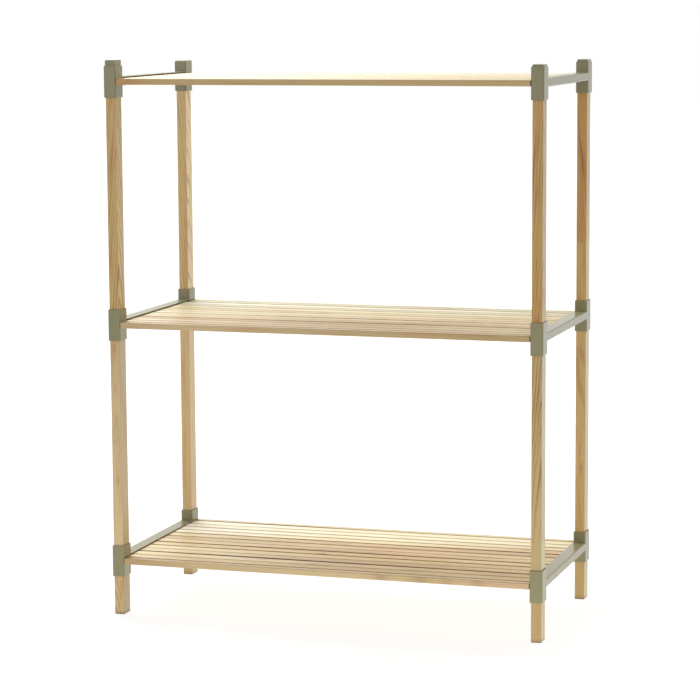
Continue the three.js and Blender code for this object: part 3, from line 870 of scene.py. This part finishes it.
def plug_shape(low, high):
    """A rectangular cup: the path runs from its ceiling down the inside, over the rim, up the outside, round
    the top edge and in to the flat top."""
    width, depth = (high - low)[:2]
    section, outward = rounded_rectangle(width, depth, PLUG_CORNER, PLUG_CORNER_STEPS)
    angle = np.arange(PLUG_ARRIS_STEPS + 1) / PLUG_ARRIS_STEPS * math.pi / 2
    top = np.stack([
        PLUG_ARRIS * (1 - np.cos(angle)),
        high[2] - PLUG_ARRIS * (1 - np.sin(angle)),
        np.cos(angle),
        np.sin(angle),
    ], axis=-1)
    inside = [
        [PLUG_WALL, high[2] - PLUG_WALL, -1, 0],
        [PLUG_WALL, low[2], -1, 0],
        [PLUG_WALL, low[2], 0, -1],
        [0, low[2], 0, -1],
        [0, low[2], 1, 0],
    ]
    points, normals, faces = carried(section, outward, np.concatenate([inside, top]))
    points[:, :2] += (low[:2] + high[:2]) / 2
    return points, normals, faces


plug_plastic = powder_coat("moulded khaki plastic", "#8a845c", 0.3)
for corner in ("front_left", "front_right", "back_left", "back_right"):
    node = "top_plug_" + corner
    low, high = (np.array(corner_point) / MM for corner_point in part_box(node))
    piece = new_piece(node + "_moulding", plug_shape(low, high), plug_plastic)
    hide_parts(node)
    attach(piece, "plug_" + corner)

# Floor and light
# A white card floor runs on into white surroundings, brighter behind the unit than in front of it, as in a
# studio with a lit backdrop. Two weak soft lamps above and in front round the edges off.
FLOOR_HALF = 20.0
FLOOR_POOL = 0.75
FLOOR_POOL_PLACE = (0.15, -0.35, 0.0)
FLOOR_NEAR = 1.8
FLOOR_FAR = 0.35
SKY_FRONT = 0.45
SKY_BACK = 1.2
LAMP_TARGET = (0, 0, 0.4)
LAMP_SIZE = 1.8


def seen_directly(tree):
    """1 for what the camera sees, and what glossy and clear surfaces show of it, and 0 for diffuse light."""
    path = add_node(tree, "LightPath", {}, {})
    seen = add_node(
        tree, "Math", {"operation": "MAXIMUM"},
        {0: path.outputs["Is Camera Ray"], 1: path.outputs["Is Glossy Ray"]},
    )
    return add_node(
        tree, "Math", {"operation": "MAXIMUM"}, {0: seen, 1: path.outputs["Is Transmission Ray"]},
    )


def floor_white():
    """White card. Seen directly it is white and keeps a soft shadow. To the unit it glows with a pool of
    painted bounce light, brightest in front of it and falling off as a bell curve of the distance."""
    material, tree = new_material("white card")
    place = add_node(tree, "TexCoord", {}, {}).outputs["Object"]
    away = add_node(tree, "VectorMath", {"operation": "DISTANCE"}, {0: place, 1: FLOOR_POOL_PLACE})
    distance = away.outputs["Value"]
    share = add_node(tree, "Math", {"operation": "DIVIDE"}, {0: distance, 1: FLOOR_POOL})
    squared = add_node(tree, "Math", {"operation": "MULTIPLY"}, {0: share, 1: share})
    bell = add_node(
        tree, "Math", {"operation": "EXPONENT"},
        {0: add_node(tree, "Math", {"operation": "MULTIPLY"}, {0: squared, 1: -1.0})},
    )
    painted_bounce = add_node(tree, "MapRange", {}, {"Value": bell, "To Min": FLOOR_FAR, "To Max": FLOOR_NEAR})
    # Painted bounce light: the floor glows for the rays that light the unit
    pool = add_node(tree, "Emission", {}, {"Color": (1, 1, 1, 1), "Strength": painted_bounce})
    plain = add_node(
        tree, "MapRange", {"interpolation_type": "SMOOTHSTEP"},
        {"Value": distance, "From Min": 0.9, "From Max": 2.4, "To Min": 0.82, "To Max": 1.0},
    )
    white = add_node(tree, "Emission", {}, {"Color": (1, 1, 1, 1), "Strength": plain})
    shadow_card = add_node(tree, "BsdfDiffuse", {}, {"Color": linear("#8f8f8f")})
    shown = add_node(tree, "AddShader", {}, {0: shadow_card, 1: white})
    surface = add_node(tree, "MixShader", {}, {0: seen_directly(tree), 1: pool, 2: shown})
    add_node(tree, "OutputMaterial", {}, {"Surface": surface})
    material.cycles.emission_sampling = "NONE"
    return material


floor_mesh = bpy.data.meshes.new("floor")
floor_corners = [(x * FLOOR_HALF, y * FLOOR_HALF, 0) for x, y in ((-1, -1), (1, -1), (1, 1), (-1, 1))]
floor_mesh.from_pydata(floor_corners, [], [(0, 1, 2, 3)])
floor_mesh.materials.append(floor_white())
floor = bpy.data.objects.new("floor", floor_mesh)
bpy.context.scene.collection.objects.link(floor)
floor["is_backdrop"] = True

world = bpy.data.worlds.new("white surroundings")
bpy.context.scene.world = world
world.use_nodes = True
world.cycles.sampling_method = "NONE"
sky_tree = world.node_tree
sky_tree.nodes.clear()
direction = add_node(sky_tree, "TexCoord", {}, {}).outputs["Generated"]
from_behind = add_node(sky_tree, "SeparateXYZ", {}, {"Vector": direction}).outputs["Y"]
lit = add_node(
    sky_tree, "MapRange", {"interpolation_type": "SMOOTHSTEP"},
    {"Value": from_behind, "From Min": -0.3, "From Max": 0.8, "To Min": SKY_FRONT, "To Max": SKY_BACK},
)
strength = add_node(
    sky_tree, "Mix", {"data_type": "FLOAT"}, {"Factor": seen_directly(sky_tree), "A": lit, "B": 1.0},
)
sky = add_node(sky_tree, "Background", {}, {"Color": (1, 1, 1, 1), "Strength": strength})
add_node(sky_tree, "OutputWorld", {}, {"Surface": sky})


def soft_lamp(name, place, power):
    """A square lamp that faces the unit: its back axis runs from the target to its place, and its sides are
    level and upward."""
    lamp_data = bpy.data.lights.new(name, "AREA")
    lamp_data.shape = "SQUARE"
    lamp_data.size = LAMP_SIZE
    lamp_data.energy = power
    lamp = bpy.data.objects.new(name, lamp_data)
    bpy.context.scene.collection.objects.link(lamp)
    away = np.array(place, float) - np.array(LAMP_TARGET, float)
    away /= np.linalg.norm(away)
    across = np.cross([0, 0, 1], away)
    across /= np.linalg.norm(across)
    upward = np.cross(away, across)
    matrix = np.eye(4)
    matrix[:3, 0] = across
    matrix[:3, 1] = upward
    matrix[:3, 2] = away
    matrix[:3, 3] = place
    lamp.matrix_world = matrix.T.tolist()


soft_lamp("key softbox", place=(-1.36, 1.63, 2.52), power=62)
soft_lamp("front softbox", place=(-1.2, -3.0, 1.6), power=12)

# Camera
# A long lens stands to the right of the unit and looks slightly down, as in the photograph.
LENS_PIXELS = 2617.4
PICTURE_PIXELS = 700
SENSOR_WIDTH = 36.0
CAMERA_PLACE = np.array([1.22753, -3.90086, 0.96143])
YAW, PITCH, ROLL = (math.radians(angle) for angle in (17.526, 7.670, -0.356))
ahead = np.array([-math.sin(YAW), math.cos(YAW), 0])
level_right = np.array([math.cos(YAW), math.sin(YAW), 0])
upright = np.array([0, 0, 1])
forward = math.cos(PITCH) * ahead - math.sin(PITCH) * upright
level_up = math.sin(PITCH) * ahead + math.cos(PITCH) * upright
turned = np.eye(4)
turned[:3, 0] = math.cos(ROLL) * level_right + math.sin(ROLL) * level_up
turned[:3, 1] = math.cos(ROLL) * level_up - math.sin(ROLL) * level_right
turned[:3, 2] = -forward
turned[:3, 3] = CAMERA_PLACE
camera_data = bpy.data.cameras.new("camera")
camera_data.sensor_width = SENSOR_WIDTH
camera_data.lens = LENS_PIXELS / PICTURE_PIXELS * SENSOR_WIDTH
camera = bpy.data.objects.new("camera", camera_data)
bpy.context.scene.collection.objects.link(camera)
camera.matrix_world = turned.T.tolist()
bpy.context.scene.camera = camera
bpy.context.scene.view_settings.view_transform = "Standard"

low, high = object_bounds()
